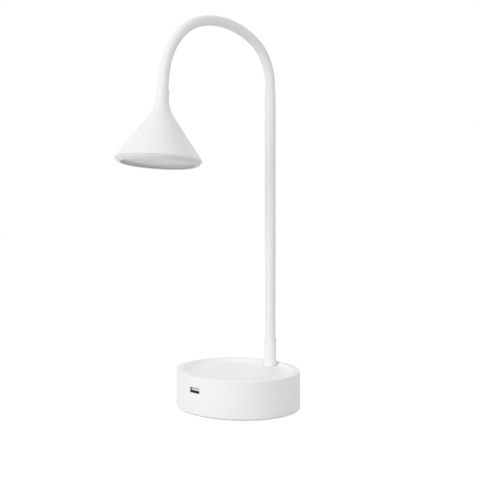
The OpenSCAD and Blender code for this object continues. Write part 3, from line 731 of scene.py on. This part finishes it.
def bezel_ring():
    """The ring that closes the mouth: a band that bulges out between the lip and the bead, a groove
    for the dark seal that paints shade in the recess, and the spigot that goes up into the funnel."""
    band_r = 4.0
    top = np.array([HEAD_R - LIP_R - 0.1, LIP_Z])
    foot = np.array([HEAD_R - 3.2, RING_Z + 0.5])
    across = top - foot
    half = np.linalg.norm(across) / 2
    outward = unit([across[1], -across[0]])
    bulge = (top + foot) / 2 + outward * half * math.tan(math.asin(half / band_r))
    pocket, step, spigot, trim = MOUTH_R + 0.6, MOUTH_R + 1.1, MOUTH_R + 2.1, TRIM_R + HAIR
    outline = [(MOUTH_R, LEDGE_Z, 0), (MOUTH_R, SHADE_SEAL_TOP, 0.1), (GROOVE_R, SHADE_SEAL_TOP, 0),
               (GROOVE_R, SHADE_SEAL_Z, 0), (trim, SHADE_SEAL_Z, 0), (trim, foot[1], 0.05), (*foot, 0.2),
               (*bulge, band_r * 0.86), (*top, 0), (spigot, LIP_Z, 0), (spigot, SPIGOT_Z, 0.2),
               (step, SPIGOT_Z, 0.2), (step, STEP_Z, 0), (pocket, STEP_Z, 0), (pocket, LEDGE_Z, 0)]
    return turned("bezel", outline, HEAD_TURN, head_place(), steps=12)


def mouth_trim():
    """The bead round the light opening, which stands a little proud of the band."""
    top = SHADE_SEAL_Z - HAIR
    outline = [(MOUTH_R, top, 0.05), (MOUTH_R, RING_Z, 0.25), (TRIM_R, RING_Z, 0.35),
               (TRIM_R, top, 0.05)]
    return turned("mouth_bead", outline, HEAD_TURN, head_place())


def painted_shade_seal():
    """A dark seal that paints the recess's shade as a line between the bead and the ring."""
    inner, outer, top = MOUTH_R - 0.03, GROOVE_R - HAIR, SHADE_SEAL_TOP - HAIR
    outline = [(inner, top, 0.1), (inner, SHADE_SEAL_Z, 0.1), (outer, SHADE_SEAL_Z, 0), (outer, top, 0)]
    return turned("painted_shade_seal", outline, HEAD_TURN, head_place())


def diffuser():
    """The frosted disc that lights up, on its ledge in the ring."""
    r, top, edge = MOUTH_R + 0.5, LEDGE_Z + 1.5, 0.15
    outline = [(0, LEDGE_Z, 0), (r, LEDGE_Z, edge), (r, top, edge), (0, top, 0)]
    return turned("diffuser_disc", outline, 192, head_place(), closed=False)


# ---------------------------------------------------------------- materials


def shader(name, colour, roughness, metallic=0.0):
    """A new material and its principled shader, with the plain numbers on the shader's sockets."""
    material = bpy.data.materials.new(name)
    material.use_nodes = True
    tree = material.node_tree
    bsdf = tree.nodes["Principled BSDF"]
    bsdf.inputs["Base Color"].default_value = (*colour, 1)
    bsdf.inputs["Roughness"].default_value = roughness
    bsdf.inputs["Metallic"].default_value = metallic
    return material, tree, bsdf


def noise(tree, scale, detail=2.0, stretch=(1, 1, 1)):
    """A noise texture in the object's own metres."""
    coord = tree.nodes.new("ShaderNodeTexCoord")
    mapping = tree.nodes.new("ShaderNodeMapping")
    mapping.inputs["Scale"].default_value = stretch
    texture = tree.nodes.new("ShaderNodeTexNoise")
    texture.inputs["Scale"].default_value = scale
    texture.inputs["Detail"].default_value = detail
    tree.links.new(coord.outputs["Object"], mapping.inputs["Vector"])
    tree.links.new(mapping.outputs["Vector"], texture.inputs["Vector"])
    return texture.outputs["Fac"]


def mapped(tree, value, source, target):
    """value mapped from the span source to the span target, and held at its ends."""
    node = tree.nodes.new("ShaderNodeMapRange")
    for side, (low, high) in (("From", source), ("To", target)):
        node.inputs[f"{side} Min"].default_value = low
        node.inputs[f"{side} Max"].default_value = high
    tree.links.new(value, node.inputs["Value"])
    return node.outputs["Result"]


def glossed(tree, bsdf, value, low, high):
    """Roughness that drifts between low and high over the middle half of value."""
    tree.links.new(mapped(tree, value, (0.25, 0.75), (low, high)), bsdf.inputs["Roughness"])


def toned(tree, bsdf, value, tone, dark, light):
    """Colour that drifts with value between dark and light times tone."""
    ramp = tree.nodes.new("ShaderNodeValToRGB")
    ends = ((0.3, dark), (0.7, light))
    for element, (position, share) in zip(ramp.color_ramp.elements, ends):
        element.position = position
        element.color = (*(min(1, c * share) for c in tone), 1)
    tree.links.new(value, ramp.inputs["Fac"])
    tree.links.new(ramp.outputs["Color"], bsdf.inputs["Base Color"])


def bumped(tree, bsdf, value, distance, strength=0.5, before=None):
    """Relief from value, distance metres deep, laid over an earlier bump if there is one."""
    bump = tree.nodes.new("ShaderNodeBump")
    bump.inputs["Strength"].default_value = strength
    bump.inputs["Distance"].default_value = distance
    tree.links.new(value, bump.inputs["Height"])
    if before:
        tree.links.new(before, bump.inputs["Normal"])
    tree.links.new(bump.outputs["Normal"], bsdf.inputs["Normal"])
    return bump.outputs["Normal"]


def plastic(name, tone, roughness, grain, relief):
    """Moulded plastic: a fine spark-eroded grain, a faint drift of tone and of gloss."""
    material, tree, bsdf = shader(name, tone, roughness)
    bsdf.inputs["Specular IOR Level"].default_value = 0.35
    toned(tree, bsdf, noise(tree, 18, 3), tone, 0.988, 1.012)
    glossed(tree, bsdf, noise(tree, 60, 4), roughness - 0.05, roughness + 0.05)
    fine = bumped(tree, bsdf, noise(tree, grain, 3), relief)
    bumped(tree, bsdf, noise(tree, grain * 0.28, 2), relief * 0.8, 0.25, fine)
    return material


def rubber(name, tone, roughness, grain, relief):
    """Matte elastomer with a velvet sheen."""
    material, tree, bsdf = shader(name, tone, roughness)
    bsdf.inputs["Specular IOR Level"].default_value = 0.3
    bsdf.inputs["Sheen Weight"].default_value = 0.08
    bsdf.inputs["Sheen Roughness"].default_value = 0.5
    toned(tree, bsdf, noise(tree, 25, 3), tone, 0.985, 1.012)
    glossed(tree, bsdf, noise(tree, 90, 3), roughness - 0.06, roughness + 0.06)
    bumped(tree, bsdf, noise(tree, grain, 3), relief)
    return material


def metal(name, tone, roughness, stretch=(1, 1, 1), scale=900, relief=8e-6):
    """Plated or milled metal with fine scratches along one way and cloudy gloss."""
    material, tree, bsdf = shader(name, tone, roughness, 1.0)
    toned(tree, bsdf, noise(tree, 120, 3), tone, 0.93, 1.05)
    glossed(tree, bsdf, noise(tree, scale, 3, stretch), roughness - 0.08, roughness + 0.1)
    bumped(tree, bsdf, noise(tree, scale, 2, stretch), relief)
    return material


def frosted(name, tone):
    """Opal acrylic with a light-scattering etch."""
    material, tree, bsdf = shader(name, tone, 0.45)
    bsdf.inputs["Subsurface Weight"].default_value = 0.15
    bsdf.inputs["Subsurface Scale"].default_value = 0.002
    toned(tree, bsdf, noise(tree, 30, 2), tone, 0.985, 1)
    glossed(tree, bsdf, noise(tree, 200, 3), 0.38, 0.52)
    bumped(tree, bsdf, noise(tree, 2600, 3), 2.5e-5)
    return material


def circuit(name, tone):
    """Solder mask over copper tracks that show through as lighter lines."""
    material, tree, bsdf = shader(name, tone, 0.4)
    coord = tree.nodes.new("ShaderNodeTexCoord")
    brick = tree.nodes.new("ShaderNodeTexBrick")
    brick.inputs["Scale"].default_value = 160
    brick.inputs["Mortar Size"].default_value = 0.012
    brick.inputs["Color1"].default_value = (*tone, 1)
    brick.inputs["Color2"].default_value = (*(c * 0.85 for c in tone), 1)
    brick.inputs["Mortar"].default_value = (*(min(1, c * 1.6) for c in tone), 1)
    tree.links.new(coord.outputs["Object"], brick.inputs["Vector"])
    tree.links.new(brick.outputs["Color"], bsdf.inputs["Base Color"])
    bumped(tree, bsdf, brick.outputs["Fac"], 2e-5, 0.3)
    return material


def grey(level):
    return (level, level, level)


# slot: kind of surface, tone, roughness, then the scale of the grain and the depth of its relief in
# metres, or for metal the stretch and scale of its scratches
LOOKS = {
    # the plain whites here are one plastic at levels that paint light and shade: the housing's is
    # lifted to brighten the drum, and the ring's is darkest, a painted shade on the mouth's band
    "housing_white": (plastic, grey(0.9), 0.5, 3800, 1.2e-5),
    "cover_white": (plastic, grey(0.78), 0.6, 2600, 2.5e-5),
    "foot_rubber": (rubber, (0.05, 0.05, 0.052), 0.75, 2200, 3e-5),
    "ballast_steel": (metal, (0.55, 0.56, 0.57), 0.38, (1, 8, 1), 300),
    "screw_steel": (metal, (0.62, 0.62, 0.63), 0.3),
    "board_green": (circuit, (0.03, 0.2, 0.08)),
    "choke_copper": (metal, (0.5, 0.24, 0.13), 0.4, (1, 1, 12), 500),
    "capacitor_can": (plastic, (0.05, 0.09, 0.2), 0.35, 1800, 1e-5),
    "port_steel": (metal, (0.62, 0.62, 0.63), 0.16, (1, 10, 1), 400),
    "port_white": (plastic, grey(0.85), 0.45, 3000, 1e-5),
    "port_black": (plastic, grey(0.02), 0.45, 3000, 1e-5),
    "touch_copper": (metal, (0.85, 0.45, 0.3), 0.35, (6, 1, 1), 500),
    "pin_gold": (metal, (0.85, 0.62, 0.25), 0.25),
    "zinc_thread": (metal, (0.58, 0.58, 0.6), 0.35, (1, 1, 20), 400, 4e-5),
    "collar_white": (plastic, grey(0.86), 0.5, 3800, 1.2e-5),
    "sleeve_white": (rubber, grey(0.85), 0.62, 3000, 5e-6),
    "hose_steel": (metal, (0.56, 0.56, 0.58), 0.32, (6, 1, 1), 600),
    "shade_white": (plastic, grey(0.834), 0.42, 2400, 8e-6),
    # painted shade: the ring's white is darker than the funnel's so that its band looks shaded
    "ring_white": (plastic, grey(0.73), 0.48, 3600, 1e-5),
    "diffuser_frost": (frosted, (0.74, 0.74, 0.73)),
    "chip_black": (plastic, (0.025, 0.025, 0.027), 0.5, 2500, 1e-5),
    "terminal_ivory": (plastic, (0.72, 0.68, 0.55), 0.45, 2500, 1e-5),
    "lead_grey": (rubber, (0.09, 0.09, 0.1), 0.55, 2000, 1e-5),
    "led_white": (plastic, (0.82, 0.82, 0.76), 0.4, 1500, 1e-5),
    "spreader_aluminium": (metal, (0.75, 0.75, 0.76), 0.35, (1, 9, 1), 350),
}
MATERIALS = {slot: kind(slot, *numbers) for slot, (kind, *numbers) in LOOKS.items()}


def dress(piece, slot):
    """Gives a piece its slot's material."""
    piece.data.materials.clear()
    piece.data.materials.append(MATERIALS[slot])


def dress_frame():
    """Every CAD node takes the material of its own slot."""
    for part in frame["record"]["subparts"]:
        node = frame["nodes"][part["node"]]
        node.data.materials.clear()
        node.data.materials.append(MATERIALS[part["material_slot"]])


# ---------------------------------------------------------------- stage, light, camera

# floor
FLOOR_SIZE = 6.0  # metres from its middle to each side
FLOOR_TONE = 0.7
GLOW = 0.61  # with the lamps' light, just enough for plain white
PAINTED_SHADOW_GLOW = 0.48  # glow under the drum, lowered as a painted shadow under its wall
AMBIENT = 0.576

# camera, in metres, and its numbers in pixels of the photograph
VIEW_A = math.radians(48)
RIGHT = Vector((math.cos(VIEW_A), math.sin(VIEW_A), 0))
AHEAD = Vector((-math.sin(VIEW_A), math.cos(VIEW_A), 0))
EYE_Z = 0.1864
STAND_OFF = 0.75
SIDE_STEP = 0.08025
IMAGE_W = 480
FOCAL_PX = 745.1
CENTRE_PX = (157.95, 219.6)

# lamps: degrees to the right of the camera, elevation, width and power, all at one distance from
# the middle of the object
BOXES = {
    "key": (-60, 12, 0.9, 13.1),
    "fill_left": (-30, 12, 0.9, 3.0),
    "fill_right": (30, 12, 0.9, 4.35),
    "over": (0, 85, 1.6, 5.2),
    "behind": (180, 50, 1.0, 5.2),
}
BOX_DISTANCE = 2.0
BOX_AIM = Vector((0, 0, 0.2))


def showing(tree):
    """1 for a ray that shows what it meets, in the camera, in gloss or through glass, and 0 for a
    ray that only lights things."""
    path = tree.nodes.new("ShaderNodeLightPath")
    value = path.outputs["Is Camera Ray"]
    for kind in ("Is Glossy Ray", "Is Transmission Ray"):
        either = tree.nodes.new("ShaderNodeMath")
        either.operation = "MAXIMUM"
        tree.links.new(value, either.inputs[0])
        tree.links.new(path.outputs[kind], either.inputs[1])
        value = either.outputs[0]
    return value


def stage():
    """Pale floor that keeps the lamp's shadow. A faint glow, for rays that show it, brings it up to
    white. The glow is weaker under the drum, a painted shadow that keeps the gap under the wall dark."""
    mesh = bpy.data.meshes.new("floor")
    corners = [(x * FLOOR_SIZE, y * FLOOR_SIZE, 0) for x, y in ((-1, -1), (1, -1), (1, 1), (-1, 1))]
    mesh.from_pydata(corners, [], [(0, 1, 2, 3)])
    floor = bpy.data.objects.new("floor", mesh)
    bpy.context.scene.collection.objects.link(floor)
    material = bpy.data.materials.new("floor_paper")
    material.use_nodes = True
    tree = material.node_tree
    tree.nodes.clear()
    diffuse = tree.nodes.new("ShaderNodeBsdfDiffuse")
    diffuse.inputs["Color"].default_value = (*grey(FLOOR_TONE), 1)
    place = tree.nodes.new("ShaderNodeNewGeometry")
    distance = tree.nodes.new("ShaderNodeVectorMath")
    distance.operation = "LENGTH"
    tree.links.new(place.outputs["Position"], distance.inputs[0])
    # painted shadow: inside this span under the drum's wall the glow drops to its weaker level
    wall = ((BASE_R - 1.5) * MM, (BASE_R - 0.5) * MM)
    glow = tree.nodes.new("ShaderNodeEmission")
    tree.links.new(mapped(tree, distance.outputs["Value"], wall, (PAINTED_SHADOW_GLOW, GLOW)),
                   glow.inputs["Strength"])
    both = tree.nodes.new("ShaderNodeAddShader")
    tree.links.new(diffuse.outputs[0], both.inputs[0])
    tree.links.new(glow.outputs[0], both.inputs[1])
    shown = tree.nodes.new("ShaderNodeMixShader")
    tree.links.new(showing(tree), shown.inputs[0])
    tree.links.new(diffuse.outputs[0], shown.inputs[1])
    tree.links.new(both.outputs[0], shown.inputs[2])
    out = tree.nodes.new("ShaderNodeOutputMaterial")
    tree.links.new(shown.outputs[0], out.inputs["Surface"])
    floor.data.materials.append(material)


def world():
    """Even ambient light, and plain white for rays that show what is past the floor."""
    sky = bpy.data.worlds.new("studio")
    bpy.context.scene.world = sky
    sky.use_nodes = True
    tree = sky.node_tree
    background = tree.nodes["Background"]
    background.inputs["Color"].default_value = (1, 1, 1, 1)
    tree.links.new(mapped(tree, showing(tree), (0, 1), (AMBIENT, 1)), background.inputs["Strength"])


def lights():
    """Plain soft studio light: a key on the left of the camera, weaker fills in front, one box over
    the lamp and one behind it."""
    for name, (azimuth, elevation, size, power) in BOXES.items():
        a, e = math.radians(azimuth), math.radians(elevation)
        level = RIGHT * math.sin(a) * math.cos(e) - AHEAD * math.cos(a) * math.cos(e)
        way = level + Vector((0, 0, math.sin(e)))
        data = bpy.data.lights.new(name, "AREA")
        data.shape = "SQUARE"
        data.size = size
        data.energy = power
        box = bpy.data.objects.new(name, data)
        box.location = BOX_AIM + way * BOX_DISTANCE
        box.rotation_euler = (-way).to_track_quat("-Z", "Y").to_euler()
        bpy.context.scene.collection.objects.link(box)


def camera():
    """The photograph's view: level, turned 48 degrees, with the frame shifted off its axis."""
    data = bpy.data.cameras.new("camera")
    data.sensor_width = 36.0
    data.lens = FOCAL_PX / IMAGE_W * data.sensor_width
    data.shift_x = (IMAGE_W / 2 - CENTRE_PX[0]) / IMAGE_W
    data.shift_y = -(IMAGE_W / 2 - CENTRE_PX[1]) / IMAGE_W
    data.clip_start, data.clip_end = 0.01, 50
    eye = bpy.data.objects.new("camera", data)
    eye.location = -RIGHT * SIDE_STEP - AHEAD * STAND_OFF + Vector((0, 0, EYE_Z))
    eye.rotation_euler = (math.pi / 2, 0, VIEW_A)
    bpy.context.scene.collection.objects.link(eye)
    bpy.context.scene.camera = eye


# ---------------------------------------------------------------- the lamp

camera()
world()
lights()
stage()
dress_frame()

# piece, body that it rides on, slot, node that it replaces
PIECES = [
    (base_housing(), "base", "housing_white", "base_housing"),
    (neck_collar(), "base", "collar_white", "neck_collar"),
    (lamp_shade(), "lamp_head", "shade_white", "lamp_shade"),
    (bezel_ring(), "lamp_head", "ring_white", "bezel_ring"),
    (diffuser(), "lamp_head", "diffuser_frost", "diffuser"),
    # painted highlight: the bead takes the lighter collar white, which shows as a bright line against
    # the darker ring
    (mouth_trim(), "lamp_head", "collar_white", None),
    # a dark piece that paints shade in the mouth's recess
    (painted_shade_seal(), "lamp_head", "lead_grey", None),
]
PIECES += [(piece, "base", slot, node) for piece, slot, node in usb_a_pieces() + usb_c_pieces()]
for piece, body, slot, node in PIECES:
    dress(piece, slot)
    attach(piece, body)
    if node:
        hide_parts(node)

neck_pieces()

bpy.context.scene.view_settings.view_transform = "Standard"
